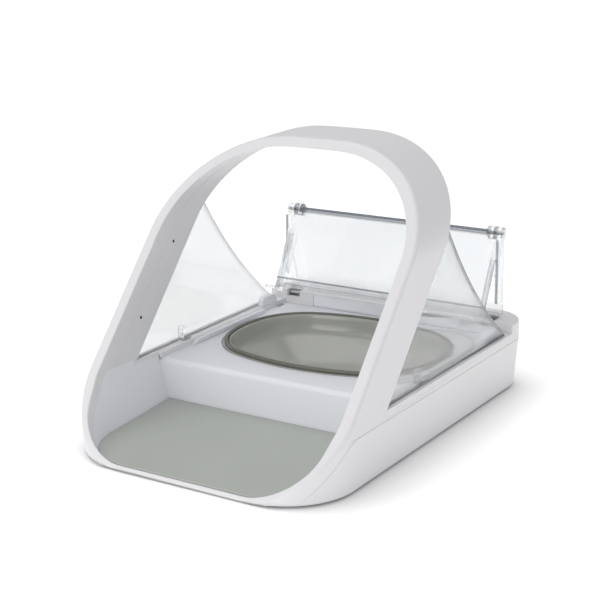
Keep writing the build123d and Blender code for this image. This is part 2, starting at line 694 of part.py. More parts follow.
def make_battery_bay():
    """Walls round the row of four cells, with a middle wall."""
    front = CELL_Y - CELL_RADIUS - CELL_GAP
    rear = REAR_Y - REAR_DRAFT - WALL
    side = CELL_ROW_END + CONTACT_THICK
    half_depth = CELL_RADIUS * 2 / 3
    height = (FLOOR_TOP, BAY_TOP)
    bay = block((-side - BAY_WALL, side), (front - BAY_WALL, front), height)
    bay += both_sides(block((side, side + BAY_WALL), (CELL_Y - half_depth, CELL_Y + half_depth), height))
    bay += block((-MIDDLE_WALL, MIDDLE_WALL), (front, rear), (FLOOR_TOP, CELL_Z))
    return bay


def make_gear_plate():
    """Standing plate for the crank axle and two cradle ribs for the motor."""
    depth = (PINION_Y - GEAR_PLATE_MARGIN, CRANK_Y + GEAR_PLATE_MARGIN)
    plate = block((PLATE_X, PLATE_X + PLATE_X_THICK), depth, (FLOOR_TOP, CRANK_Z + GEAR_PLATE_MARGIN))
    plate -= rod_x(AXLE_RADIUS + FIT, PLATE_X, PLATE_X + PLATE_X_THICK, CRANK_Y, CRANK_Z)
    plate -= rod_x(MOTOR_BOSS + SIDE_GAP, PLATE_X, PLATE_X + PLATE_X_THICK, PINION_Y, CRANK_Z)
    half = MOTOR_RADIUS + BAY_WALL
    for start in (MOTOR_START + BAY_WALL, MOTOR_START + MOTOR_LENGTH - 2 * BAY_WALL):
        rib = block((start, start + BAY_WALL), (PINION_Y - half, PINION_Y + half), (FLOOR_TOP, CRANK_Z))
        plate += rib
    return plate - rod_x(MOTOR_RADIUS, MOTOR_START, MOTOR_START + MOTOR_LENGTH, PINION_Y, CRANK_Z)


# ---- fittings on the mouldings ----


def make_rear_plate():
    """Thin plate let into the rear wall, with an upright slot."""
    plate = block(
        (-PLATE_HALF + PLATE_GAP, PLATE_HALF - PLATE_GAP),
        (BLOCK_FRONT, BLOCK_FRONT + PLATE_THICK),
        (PLATE_LOW + PLATE_GAP, PLATE_HIGH - PLATE_GAP),
    )
    slot = (-SLOT_HALF, SLOT_HALF), (BLOCK_FRONT, BLOCK_FRONT + PLATE_THICK), (SLOT_LOW, SLOT_HIGH)
    return plate - block(*slot)


def make_window():
    """Dark window behind the slot."""
    y_span = (BLOCK_FRONT + PLATE_THICK / 2, BLOCK_FRONT + BLOCK_SKIN + WINDOW_BACK)
    return block((-SLOT_HALF, SLOT_HALF), y_span, (SLOT_LOW, SLOT_HIGH))


def make_rail(side):
    """Low rail on the deck beside the bowl, its front end sloped."""
    top = STRIP_TOP - RAIL_DROP
    points = [
        (RAIL_START, DECK_Z),
        (RAIL_END, DECK_Z),
        (RAIL_END, top),
        (RAIL_START + 2 * (top - DECK_Z), top),
    ]
    rail = prism_x(points, RAIL_INNER, RIM_INNER)
    return rail if side > 0 else mirror(rail, about=Plane.YZ)


def make_lobe(side):
    """Bracket at the rear of the strip, round on top."""
    size = ((LOBE_INNER, LOBE_OUTER), (LOBE_FRONT, LOBE_REAR), (STRIP_TOP, LOBE_TOP))
    lobe = block(*size)
    corners = lobe.edges().filter_by(Axis.X).group_by(Axis.Z)[-1]
    lobe = fillet(corners, LOBE_ROUND)
    return lobe if side > 0 else mirror(lobe, about=Plane.YZ)


def hoop_rear_y(z):
    """Where the hoop's rear plane stands at a height."""
    return FRONT_Y + HOOP_DEPTH + z / tan(radians(REAR_ANGLE))


def wing_face(back=0):
    """Side view of the clear plate, with its curved rear edge drawn back."""
    tip = (hoop_rear_y(WING_TIP_Z) - back, WING_TIP_Z - back)
    waist = (WING_WAIST[0] - back, WING_WAIST[1] - back)
    tail = (WING_REAR_Y - back, WING_REAR_Z - back)
    toe = (hoop_rear_y(STRIP_TOP) - back, STRIP_TOP - back)
    heel = (WING_REAR_Y - back, STRIP_TOP - back)
    edges = [Line(toe, tip), ThreePointArc(tip, waist, tail), Line(tail, heel), Line(heel, toe)]
    return make_face(edges)


def make_wing(side):
    """Clear side plate with a thick curved edge, a foot flange and a hook for the lid's pin."""
    face = Plane.YZ.offset(WING_INNER) * wing_face()
    wing = extrude(face, WING_OUTER - WING_INNER)
    edge = Plane.YZ.offset(WING_INNER - BEAD_PROUD) * (wing_face() - wing_face(BEAD_SIZE))
    wing += extrude(edge, WING_OUTER - WING_INNER + 2 * BEAD_PROUD) & above(STRIP_TOP)
    foot = (hoop_rear_y(STRIP_TOP + FOOT_FLANGE), WING_REAR_Y)
    width = (WING_INNER - FOOT_FLANGE_OUT, WING_OUTER + FOOT_FLANGE_OUT)
    wing += block(width, foot, (STRIP_TOP, STRIP_TOP + FOOT_FLANGE))
    wing += make_hook()
    return wing if side > 0 else mirror(wing, about=Plane.YZ)


def make_hook():
    """Hook open to the rear and up, round in front of the lid's pin."""
    inner = PIN_RADIUS + HOOK_GAP
    ring = rod_x(inner + HOOK_THICK, HOOK_INNER, WING_INNER, HOOK_Y, HOOK_Z)
    ring += block(
        (HOOK_INNER, WING_INNER),
        (HOOK_Y, HOOK_Y + HOOK_TAIL),
        (HOOK_Z - inner - HOOK_THICK, HOOK_Z),
    )
    ring += block(
        (HOOK_INNER, WING_INNER),
        (HOOK_Y - inner - HOOK_THICK, HOOK_Y),
        (HOOK_Z, HOOK_Z + HOOK_TAIL / 2),
    )
    mouth = rod_x(inner, HOOK_INNER, WING_INNER, HOOK_Y, HOOK_Z)
    mouth += block((HOOK_INNER, WING_INNER), (HOOK_Y - inner, LENGTH), (HOOK_Z, HEIGHT))
    mouth += block((HOOK_INNER, WING_INNER), (HOOK_Y, LENGTH), (HOOK_Z - inner, HEIGHT))
    return (ring - mouth) & above(STRIP_TOP)


def make_mat():
    """Lift-out mat on the tray's floor."""
    mat = tray_space(-MAT_GAP) & ahead_of(tray_floor(SEAT_GAP))
    mat = mat - ahead_of(tray_floor(MAT_THICK)) - ahead_of(FACE.offset(-MAT_GAP))
    return mat - block((-WIDTH, WIDTH), (LEDGE_Y - MAT_GAP, LENGTH), (-BIG, BIG))


def make_bowl():
    """Lift-out bowl with a flange, a step inside its wall and a sloping lower wall."""
    rim = FLANGE_Z + FLANGE_THICK
    ledge = BOWL_MOUTH + BOWL_LEDGE_IN
    floor = rim - BOWL_DEPTH
    inner = [
        (BOWL_MOUTH, rim),
        (ledge, BOWL_LEDGE_Z),
        (ledge + BOWL_LEDGE_WIDTH, BOWL_LEDGE_Z - BOWL_LEDGE_FALL),
        (BOWL_FLOOR_IN, floor),
    ]
    outer = [
        (BOWL_MOUTH - BOWL_SKIN, FLANGE_Z),
        (ledge - BOWL_SKIN, BOWL_LEDGE_Z - BOWL_SKIN),
        (BOWL_FLOOR_IN - BOWL_SKIN, floor - BOWL_SKIN),
    ]
    bowl = extrude(Plane.XY.offset(FLANGE_Z) * oval(0), FLANGE_THICK) + oval_dish(outer)
    return bowl - oval_dish(inner)


def make_seal():
    """Soft ring on the bowl's flange."""
    base = FLANGE_Z + FLANGE_THICK
    ring = Plane.XY.offset(base) * (oval(SEAL_INSET) - oval(SEAL_INSET + SEAL_WIDTH))
    seal = extrude(ring, SEAL_HEIGHT)
    return fillet(seal.faces().sort_by(Axis.Z)[-1].edges(), SEAL_ROUND)


# ---- lid ----


def panel_point(angle, along, out):
    """A side-view point of a panel: distance from the fold axis and offset to its outer side."""
    turn = radians(angle)
    return (
        FOLD_Y + along * cos(turn) + out * sin(turn) * panel_side(angle),
        FOLD_Z + along * sin(turn) - out * cos(turn) * panel_side(angle),
    )


def panel_side(angle):
    """Which side of a panel is outside, lid open: behind the rear one, before the front one."""
    return -1 if angle == REAR_DOWN else 1


REAR_DOWN = degrees(atan2(PANEL_FOOT_Z - FOLD_Z, PANEL_FOOT_Y - FOLD_Y))
FRONT_DOWN = degrees(atan2(PIN_Z - FOLD_Z, PIN_Y - FOLD_Y))
REAR_LENGTH = hypot(PANEL_FOOT_Z - FOLD_Z, PANEL_FOOT_Y - FOLD_Y)
FRONT_LENGTH = hypot(PIN_Z - FOLD_Z, PIN_Y - FOLD_Y)


def closed_pin_y():
    """Where the front panel's pins end up, once the rear panel lies level and they are in the hooks."""
    lift = radians(-REAR_DOWN)
    fold_dy = FOLD_Y - SHAFT_Y
    fold_dz = FOLD_Z - SHAFT_Z
    closed_y = SHAFT_Y + fold_dy * cos(lift) - fold_dz * sin(lift)
    closed_z = SHAFT_Z + fold_dy * sin(lift) + fold_dz * cos(lift)
    return closed_y - sqrt(FRONT_LENGTH**2 - (closed_z - HOOK_Z) ** 2)


HOOK_Y = closed_pin_y()


def panel_prism(angle, along, out, x_span):
    """A straight piece of a panel between two distances, two offsets and two places on X."""
    corners = [(along[0], out[0]), (along[1], out[0]), (along[1], out[1]), (along[0], out[1])]
    points = [panel_point(angle, reach, offset) for reach, offset in corners]
    return prism_x(points, *x_span)


def make_rear_panel():
    """Rear lid panel: sheet, top bar, outer knuckles, side flanges and arms to the shaft."""
    sheet_out = (SHEET_OFFSET, SHEET_OFFSET + SHEET)
    knuckle_clear = KNUCKLE_RADIUS + SIDE_GAP
    bar_end = KNUCKLE_INNER - SIDE_GAP
    split = KNUCKLE_SPLIT + RUNNING_GAP
    panel = panel_prism(REAR_DOWN, (knuckle_clear, REAR_LENGTH), sheet_out, (-REAR_HALF, REAR_HALF))
    panel += panel_prism(REAR_DOWN, (SHEET_START, knuckle_clear), sheet_out, (-bar_end, bar_end))
    panel += rod_x(TOP_BAR_RADIUS, -bar_end, bar_end, FOLD_Y, FOLD_Z)
    side = panel_prism(REAR_DOWN, (0, knuckle_clear), sheet_out, (split, REAR_HALF))
    side += rod_x(KNUCKLE_RADIUS, split, REAR_HALF, FOLD_Y, FOLD_Z)
    side += panel_prism(
        REAR_DOWN,
        (KNUCKLE_RADIUS - SHEET / 2, REAR_LENGTH - FLANGE_LIFT),
        (-REAR_FLANGE, SHEET_OFFSET),
        (REAR_HALF - FLANGE_THICK_X, REAR_HALF),
    )
    peg = panel_point(REAR_DOWN, PEG_REACH, -REAR_FLANGE + PEG_INSET)
    side += rod_x(PEG_RADIUS, REAR_HALF - FLANGE_THICK_X - PEG_PROUD, REAR_HALF, *peg)
    side += make_lid_arm()
    side -= rod_x(HINGE_PIN_RADIUS + FIT, KNUCKLE_INNER, REAR_HALF, FOLD_Y, FOLD_Z)
    return panel + both_sides(side)


def make_lid_arm():
    """Arm that joins the rear panel's foot to the shaft."""
    inner = panel_point(REAR_DOWN, REAR_LENGTH - SHEET, SHEET_OFFSET)
    outer = panel_point(REAR_DOWN, REAR_LENGTH - SHEET, SHEET_OFFSET + SHEET)
    lean = atan2(inner[1] - SHAFT_Z, inner[0] - SHAFT_Y)
    offset = (ARM_BOSS * sin(lean), ARM_BOSS * cos(lean))
    near = (SHAFT_Y - offset[0], SHAFT_Z + offset[1])
    far = (SHAFT_Y + offset[0], SHAFT_Z - offset[1])
    arm = prism_x([near, far, outer, inner], ARM_INNER, ARM_OUTER)
    arm += rod_x(ARM_BOSS, ARM_INNER, ARM_OUTER, SHAFT_Y, SHAFT_Z)
    return arm - rod_x(SHAFT_RADIUS + FIT, ARM_INNER, ARM_OUTER, SHAFT_Y, SHAFT_Z)


def make_front_panel():
    """Front lid panel: sheet, inner knuckles, tapered flanges, foot bars and round end pins."""
    sheet_out = (SHEET_OFFSET, SHEET_OFFSET + SHEET)
    start = TOP_BAR_RADIUS + 2 * SIDE_GAP
    split = KNUCKLE_SPLIT - RUNNING_GAP
    clear = KNUCKLE_RADIUS + SIDE_GAP
    foot = FRONT_LENGTH - PIN_RADIUS
    panel = panel_prism(FRONT_DOWN, (clear, foot), sheet_out, (-FRONT_HALF, FRONT_HALF))
    panel += panel_prism(FRONT_DOWN, (start, clear), sheet_out, (-split, split))
    bar_out = (-FOOT_BAR_INSIDE, SHEET_OFFSET + SHEET + FOOT_BAR_OUTSIDE)
    panel += panel_prism(FRONT_DOWN, (foot - FOOT_BAR, foot), bar_out, (-FRONT_HALF, FRONT_HALF))
    bead_out = (SHEET_OFFSET, SHEET_OFFSET + SHEET + FOOT_BAR_OUTSIDE)
    bead_span = (foot - FOOT_BEAD[0], foot - FOOT_BEAD[1])
    panel += panel_prism(FRONT_DOWN, bead_span, bead_out, (-FRONT_HALF, FRONT_HALF))
    side = rod_x(KNUCKLE_RADIUS, KNUCKLE_INNER, split, FOLD_Y, FOLD_Z)
    taper = [
        (clear, SHEET_OFFSET),
        (clear, -FOOT_BAR_INSIDE),
        (clear + 3 * FRONT_FLANGE, -FRONT_FLANGE),
        (foot, -FRONT_FLANGE),
        (foot, SHEET_OFFSET),
    ]
    flange = [panel_point(FRONT_DOWN, reach, out) for reach, out in taper]
    side += prism_x(flange, FRONT_HALF - FLANGE_THICK_X, FRONT_HALF)
    side += rod_x(2 * PIN_RADIUS, FRONT_HALF - 2 * FLANGE_THICK_X, FRONT_HALF, PIN_Y, PIN_Z)
    side += rod_x(PIN_RADIUS, FRONT_HALF, PIN_REACH, PIN_Y, PIN_Z)
    side -= rod_x(HINGE_PIN_RADIUS + FIT, KNUCKLE_INNER, split, FOLD_Y, FOLD_Z)
    return panel + both_sides(side)


def make_hinge_pins():
    """The two pins of the fold."""
    return both_sides(rod_x(HINGE_PIN_RADIUS, KNUCKLE_INNER, REAR_HALF, FOLD_Y, FOLD_Z))


# ---- lid drive ----


def on_circle(centre, radius, angle):
    """A side-view point on a circle."""
    turn = radians(angle)
    return (centre[0] + radius * cos(turn), centre[1] + radius * sin(turn))


def gear(teeth, centre, first, x_start, width):
    """Spur gear with straight-sided teeth, its first tooth at an angle."""
    pitch = 360 / teeth
    root = GEAR_MODULE * (teeth / 2 - ROOT_DEPTH)
    tip = GEAR_MODULE * (teeth / 2 + TIP_HEIGHT)
    points = []
    for tooth in range(teeth):
        middle = first + tooth * pitch
        points.append(on_circle(centre, root, middle - ROOT_HALF * pitch))
        points.append(on_circle(centre, tip, middle - TIP_HALF * pitch))
        points.append(on_circle(centre, tip, middle + TIP_HALF * pitch))
        points.append(on_circle(centre, root, middle + ROOT_HALF * pitch))
    return prism_x(points, x_start, x_start + width)


CRANK = (CRANK_Y, CRANK_Z)
LEVER_TIP = on_circle((SHAFT_Y, SHAFT_Z), CRANK_THROW, CRANK_START)
CRANK_TIP = on_circle(CRANK, CRANK_THROW, CRANK_START)


def make_crank_gear():
    """Gear that carries the crank pin."""
    wheel = gear(GEAR_TEETH, CRANK, 180, GEAR_INNER, GEAR_WIDTH)
    wheel += rod_x(DRIVE_PIN, GEAR_INNER, DRIVE_END, *CRANK_TIP)
    return wheel - rod_x(AXLE_RADIUS + FIT, GEAR_INNER, GEAR_INNER + GEAR_WIDTH, *CRANK)


def make_pinion():
    """Pinion on the motor's shaft, a gap between its teeth facing the crank gear."""
    pinion = gear(PINION_TEETH, (PINION_Y, CRANK_Z), 180 / PINION_TEETH, GEAR_INNER, GEAR_WIDTH)
    return pinion - rod_x(DRIVE_PIN + FIT, GEAR_INNER, GEAR_INNER + GEAR_WIDTH, PINION_Y, CRANK_Z)


def make_axle():
    """Axle of the crank gear, held in its plate."""
    return rod_x(AXLE_RADIUS, PLATE_X, GEAR_INNER + GEAR_WIDTH, *CRANK)


def make_motor():
    """Gear motor with its round boss; its shaft is the pinion's."""
    motor = rod_x(MOTOR_RADIUS, MOTOR_START, MOTOR_START + MOTOR_LENGTH, PINION_Y, CRANK_Z)
    motor += rod_x(MOTOR_BOSS, MOTOR_START, PLATE_X + PLATE_X_THICK, PINION_Y, CRANK_Z)
    return motor + rod_x(DRIVE_PIN, MOTOR_START, GEAR_INNER + GEAR_WIDTH, PINION_Y, CRANK_Z)


def make_link():
    """Rod between the crank pin and the lever pin."""
    start = GEAR_INNER + GEAR_WIDTH + RUNNING_GAP
    end = start + LINK_THICK
    lean = atan2(LEVER_TIP[1] - CRANK_TIP[1], LEVER_TIP[0] - CRANK_TIP[0])
    side = (LINK_HALF * sin(lean), LINK_HALF * cos(lean))
    points = [
        (CRANK_TIP[0] + side[0], CRANK_TIP[1] - side[1]),
        (LEVER_TIP[0] + side[0], LEVER_TIP[1] - side[1]),
        (LEVER_TIP[0] - side[0], LEVER_TIP[1] + side[1]),
        (CRANK_TIP[0] - side[0], CRANK_TIP[1] + side[1]),
    ]
    link = prism_x(points, start, end)
    for tip in (CRANK_TIP, LEVER_TIP):
        link += rod_x(LINK_EYE, start, end, *tip)
    for tip in (CRANK_TIP, LEVER_TIP):
        link -= rod_x(DRIVE_PIN + FIT, start, end, *tip)
    return link


def make_lever():
    """Lever clamped on the lid's shaft, with its pin."""
    lean = radians(CRANK_START)
    side = (LEVER_HUB * sin(lean), LEVER_HUB * cos(lean))
    points = [
        (SHAFT_Y + side[0], SHAFT_Z - side[1]),
        (LEVER_TIP[0] + side[0], LEVER_TIP[1] - side[1]),
        (LEVER_TIP[0] - side[0], LEVER_TIP[1] + side[1]),
        (SHAFT_Y - side[0], SHAFT_Z + side[1]),
    ]
    lever = prism_x(points, GEAR_INNER, GEAR_INNER + GEAR_WIDTH)
    lever += rod_x(LINK_EYE, GEAR_INNER, GEAR_INNER + GEAR_WIDTH, *LEVER_TIP)
    lever += rod_x(LEVER_HUB, GEAR_INNER, GEAR_INNER + GEAR_WIDTH, SHAFT_Y, SHAFT_Z)
    lever += rod_x(DRIVE_PIN, GEAR_INNER, DRIVE_END, *LEVER_TIP)
    return lever - rod_x(SHAFT_RADIUS + FIT, GEAR_INNER, GEAR_INNER + GEAR_WIDTH, SHAFT_Y, SHAFT_Z)


def make_shaft():
    """Shaft of the lid, through both arms to the lever."""
    return rod_x(SHAFT_RADIUS, -SHAFT_END, GEAR_INNER + GEAR_WIDTH, SHAFT_Y, SHAFT_Z)


# ---- electronics, battery and small parts ----


def make_board():
    """Main board over the left cells, with the two switches behind the buttons."""
    top = BAY_TOP + BOARD_THICK
    board = block(BOARD_X, BOARD_Y, (BAY_TOP, top))
    for x in BUTTON_XS:
        depth = (SWITCH_FACE - SWITCH_DEPTH, SWITCH_FACE)
        board += block((x - SWITCH_HALF, x + SWITCH_HALF), depth, (top, BUTTON_Z + SWITCH_RISE))
    board += block(CHIP_X, CHIP_Y, (top, top + CHIP_HEIGHT))
    return board + block(PLUG_X, PLUG_Y, (top, top + PLUG_HEIGHT))


def make_sounder():
    """Round sounder on the board."""
    top = BAY_TOP + BOARD_THICK
    return rod_z(SOUNDER_RADIUS, *SOUNDER_PLACE, top, top + PLUG_HEIGHT)


def make_coil():
    """Reader coil inside the hoop, flat against its outer wall."""
    coil = hoop_prism(HOOP_SKIN, HOOP_CORNER - HOOP_SKIN)
    coil = coil - hoop_prism(HOOP_SKIN + COIL_THICK, HOOP_CORNER - HOOP_SKIN - COIL_THICK)
    coil = coil & behind(FACE.offset(-COIL_SETBACK)) & above(LEG_SEAM_Z)
    return coil & ahead_of(FACE.offset(-COIL_SETBACK - COIL_DEPTH))


def make_ir_row(side):
    """A strip with two sensor heads that look through the inner wall of a leg."""
    inner = HALF_WIDTH - BAND
    back = inner + HOOP_SKIN
    (low_y, low_z), (high_y, high_z) = ir_places()
    slope = radians(FACE_ANGLE)
    dy = IR_STRIP_OVERRUN * cos(slope)
    dz = IR_STRIP_OVERRUN * sin(slope)
    sy = IR_STRIP_HALF * sin(slope)
    sz = IR_STRIP_HALF * cos(slope)
    points = [
        (low_y - dy + sy, low_z - dz - sz),
        (high_y + dy + sy, high_z + dz - sz),
        (high_y + dy - sy, high_z + dz + sz),
        (low_y - dy - sy, low_z - dz + sz),
    ]
    row = prism_x(points, back, back + IR_STRIP_THICK)
    for y, z in ir_places():
        row += rod_x(IR_HOLE - FIT, inner + IR_RECESS, back + IR_STRIP_THICK, y, z)
    return row if side > 0 else mirror(row, about=Plane.YZ)


def make_cell(slot):
    """One round cell with its raised end; slots count from the left."""
    side = -1 if slot < 2 else 1
    place = MIDDLE_WALL + CONTACT_THICK + CELL_LENGTH * (slot % 2)
    cell = rod_x(CELL_RADIUS, place + CELL_CAP, place + CELL_LENGTH - CELL_GAP, CELL_Y, CELL_Z)
    cell += rod_x(CELL_RADIUS / 4, place, place + CELL_CAP, CELL_Y, CELL_Z)
    return cell if side > 0 else mirror(cell, about=Plane.YZ)


def make_contact(side):
    """Spring plate at the outer end of a row."""
    plate = block(
        (CELL_ROW_END, CELL_ROW_END + CONTACT_THICK),
        (CELL_Y - CELL_RADIUS / 2, CELL_Y + CELL_RADIUS / 2),
        (FLOOR_TOP + CONTACT_MARGIN, BAY_TOP - CONTACT_MARGIN),
    )
    return plate if side > 0 else mirror(plate, about=Plane.YZ)


def make_middle_contact():
    """Saddle over the middle wall that joins the two rows."""
    half = MIDDLE_WALL + CONTACT_THICK
    depth = (CELL_Y - CELL_RADIUS / 2, CELL_Y + CELL_RADIUS / 2)
    saddle = block((-half, half), depth, (FLOOR_TOP + CONTACT_MARGIN, CELL_Z + CONTACT_THICK))
    return saddle - block((-MIDDLE_WALL, MIDDLE_WALL), depth, (FLOOR_TOP, CELL_Z))


def make_door(side):
    """Battery door in its recess, with a finger groove."""
    door = block(door_span(side, 0), door_depth(0), (BASE_Z, BASE_Z + DOOR_THICK))
    middle = side * (DOOR_INNER + DOOR_OUTER) / 2
    groove = block(
        (middle - GROOVE_HALF, middle + GROOVE_HALF),
        (DOOR_FRONT + GROOVE_PLACE[0], DOOR_FRONT + GROOVE_PLACE[1]),
        (BASE_Z, BASE_Z + GROOVE_DEPTH),
    )
    return door - groove


def make_button(x):
    """Button in the rear wall: cap outside, flange inside."""
    wall_inner = REAR_Y - REAR_DRAFT - WALL
    cap = Pos(x, BUTTON_FACE, BUTTON_Z) * Rot(90, 0, 0)
    align = (Align.CENTER, Align.CENTER, Align.MIN)
    button = cap * Cylinder(BUTTON_RADIUS, BUTTON_FACE - SWITCH_FACE - BUTTON_TRAVEL - SIDE_GAP, align=align)
    flange = Pos(x, wall_inner - SEAT_GAP, BUTTON_Z) * Rot(90, 0, 0)
    return button + flange * Cylinder(BUTTON_RADIUS + BUTTON_FLANGE, BUTTON_FLANGE, align=align)


def make_feet():
    """Four rubber feet."""
    feet = [rod_z(FOOT_RADIUS, x, y, 0, BASE_Z) for x, y in FOOT_SPOTS]
    return Compound(children=feet)


def make_screws():
    """Four screws from below that hold tub and deck together."""
    screws = []
    for x, y in POST_SPOTS:
        head = rod_z(SCREW_HEAD, x, y, HEAD_SEAT_Z - SCREW_HEAD / 2, HEAD_SEAT_Z)
        screws.append(head + rod_z(SCREW_RADIUS, x, y, HEAD_SEAT_Z, SCREW_TIP_Z))
    return Compound(children=screws)


def build():
    """Every node by name."""
    body = outer_body()
    hollow = tray_hollow()
    walls = make_tray_walls()
    nodes = {
        "base_tub": make_base_tub(body),
        "outer_frame": make_outer_frame(body, hollow, walls),
        "hoop_cover": make_hoop_cover(),
        "tray_deck": make_tray_deck(),
        "rear_wall_plate": make_rear_plate(),
        "status_window": make_window(),
        "deck_rail_left": make_rail(-1),
        "deck_rail_right": make_rail(1),
        "bracket_left": make_lobe(-1),
        "bracket_right": make_lobe(1),
        "side_plate_left": make_wing(-1),
        "side_plate_right": make_wing(1),
        "mat": make_mat(),
        "bowl": make_bowl(),
        "bowl_seal": make_seal(),
        "lid_rear_panel": make_rear_panel(),
        "lid_front_panel": make_front_panel(),
        "lid_hinge_pins": make_hinge_pins(),
        "lid_shaft": make_shaft(),
        "lid_lever": make_lever(),
        "drive_link": make_link(),
        "crank_gear": make_crank_gear(),
        "crank_axle": make_axle(),
        "motor_pinion": make_pinion(),
        "gear_motor": make_motor(),
        "main_board": make_board(),
        "sounder": make_sounder(),
        "reader_coil": make_coil(),
        "ir_emitters": make_ir_row(-1),
        "ir_receivers": make_ir_row(1),
        "contact_left": make_contact(-1),
        "contact_right": make_contact(1),
        "contact_middle": make_middle_contact(),
        "battery_door_left": make_door(-1),
        "battery_door_right": make_door(1),
        "button_left": make_button(BUTTON_XS[0]),
        "button_right": make_button(BUTTON_XS[1]),
        "rubber_feet": make_feet(),
        "housing_screws": make_screws(),
    }
    for slot in range(4):
        nodes[f"cell_{slot + 1}"] = make_cell(slot)
    return nodes


os.makedirs("parts", exist_ok=True)
for name, shape in build().items():
    export_step(shape, f"parts/{name}.step")
    print(name, len(shape.solids()), round(shape.volume, 1))
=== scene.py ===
# %% [markdown]
# # A microchip pet feeder
# The feeder is a white base with a slanted hoop, a soft mat, an oval bowl and a clear folding
# lid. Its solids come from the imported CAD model, which stands still as the frame. This notebook
# gives each surface its finish and models again the few parts whose edges decide the look.

# %% Load the frame
import json
from math import atan2, cos, radians, sin

import bmesh
import bpy
from mathutils import Matrix, Vector


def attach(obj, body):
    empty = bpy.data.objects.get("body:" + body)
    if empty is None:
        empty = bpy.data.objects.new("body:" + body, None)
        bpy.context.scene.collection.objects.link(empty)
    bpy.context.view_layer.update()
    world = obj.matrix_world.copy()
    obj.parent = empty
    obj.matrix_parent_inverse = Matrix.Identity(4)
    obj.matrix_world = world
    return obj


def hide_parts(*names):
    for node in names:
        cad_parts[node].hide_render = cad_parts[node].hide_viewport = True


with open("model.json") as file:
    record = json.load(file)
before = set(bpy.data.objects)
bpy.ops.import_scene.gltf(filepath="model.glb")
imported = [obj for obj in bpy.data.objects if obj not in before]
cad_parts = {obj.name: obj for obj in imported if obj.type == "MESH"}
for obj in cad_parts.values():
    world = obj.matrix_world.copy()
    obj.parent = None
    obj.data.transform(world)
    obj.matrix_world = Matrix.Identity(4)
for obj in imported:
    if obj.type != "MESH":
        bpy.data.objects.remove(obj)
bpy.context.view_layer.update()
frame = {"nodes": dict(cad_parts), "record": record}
nodes = frame["nodes"]

# %% [markdown]
# ## Camera
# The camera stands where the photographer's did. Its place was solved from the outlines of the
# hoop, base and side plates in the photograph, for a square picture.

# %% Camera
VIEW_TURN, VIEW_RISE, VIEW_ROLL = radians(33.904), radians(16.369), radians(-1.651)
VIEW_FOCUS = 1477.8 / 600
VIEW_PLACE = (0.5952, -0.8872, 0.4065)
SENSOR = 36
back = Vector((sin(VIEW_TURN) * cos(VIEW_RISE), -cos(VIEW_TURN) * cos(VIEW_RISE), sin(VIEW_RISE)))
level = Vector((0, 0, 1)).cross(back).normalized()
upward = back.cross(level)
right = level * cos(VIEW_ROLL) + upward * sin(VIEW_ROLL)
top = upward * cos(VIEW_ROLL) - level * sin(VIEW_ROLL)
camera_data = bpy.data.cameras.new("photo_camera")
camera_data.sensor_width = SENSOR
camera_data.lens = SENSOR * VIEW_FOCUS
camera_data.clip_start = 0.05
camera = bpy.data.objects.new("photo_camera", camera_data)
bpy.context.collection.objects.link(camera)
turned = Matrix((right, top, back)).transposed().to_4x4()
camera.matrix_world = Matrix.Translation(VIEW_PLACE) @ turned
bpy.context.scene.camera = camera
print("lens", round(camera_data.lens, 2))

# %% [markdown]
# ## Studio
# Product pictures of white plastic need a white sweep and wide soft lights, because every
# gradient on the hoop is a reflection. One broad light stands at the left front, one hangs
# overhead and a low one in front reaches under the hoop. The right side stays the darkest.

# %% Floor and lights
def soft_light(name, place, aim, width, watts):
    """A square area light that looks at a point."""
    lamp_data = bpy.data.lights.new(name, "AREA")
    lamp_data.shape = "SQUARE"
    lamp_data.size = width
    lamp_data.energy = watts
    lamp = bpy.data.objects.new(name, lamp_data)
    bpy.context.collection.objects.link(lamp)
    heading = Vector(aim) - Vector(place)
    turn = heading.to_track_quat("-Z", "Y").to_matrix().to_4x4()
    lamp.matrix_world = Matrix.Translation(place) @ turn
    return lamp


floor_mesh = bmesh.new()
bmesh.ops.create_grid(floor_mesh, x_segments=8, y_segments=8, size=1.7)
floor_data = bpy.data.meshes.new("floor")
floor_mesh.to_mesh(floor_data)
floor_mesh.free()
floor = bpy.data.objects.new("floor", floor_data)
bpy.context.collection.objects.link(floor)
soft_light("light_left", (-1.5, -1.7, 1.3), (0, 0, 0.08), 1.5, 6.5)
soft_light("light_over", (-0.5, 0.2, 2.2), (0, 0, 0.1), 1.6, 11)
soft_light("light_front", (-0.1, -2.3, 0.55), (0, 0, 0.08), 1.0, 8)
world = bpy.data.worlds.new("studio")
world.use_nodes = True
sky = world.node_tree
room = sky.nodes["Background"]
room.inputs["Color"].default_value = (0.985, 0.985, 1.0, 1)
room.inputs["Strength"].default_value = 0.55
sweep = sky.nodes.new("ShaderNodeBackground")
sweep.inputs["Color"].default_value = (1, 1, 1, 1)
sweep.inputs["Strength"].default_value = 1.05
ray = sky.nodes.new("ShaderNodeLightPath")
seen = sky.nodes.new("ShaderNodeMath")
seen.operation = "MAXIMUM"
sky.links.new(ray.outputs["Is Camera Ray"], seen.inputs[0])
sky.links.new(ray.outputs["Is Transmission Ray"], seen.inputs[1])
choice = sky.nodes.new("ShaderNodeMixShader")
sky.links.new(seen.outputs["Value"], choice.inputs["Fac"])
sky.links.new(room.outputs["Background"], choice.inputs[1])
sky.links.new(sweep.outputs["Background"], choice.inputs[2])
sky.links.new(choice.outputs["Shader"], sky.nodes["World Output"].inputs["Surface"])
bpy.context.scene.world = world
bpy.context.scene.view_settings.view_transform = "Standard"

# %% [markdown]
# ## Finishes
# Every finish is built from the same few nodes: a noise that shifts the colour a little, a
# second one that changes the gloss as handling does, and a fine bump for the mould's texture.
# The patterns read Object coordinates, so they keep their place on the part.

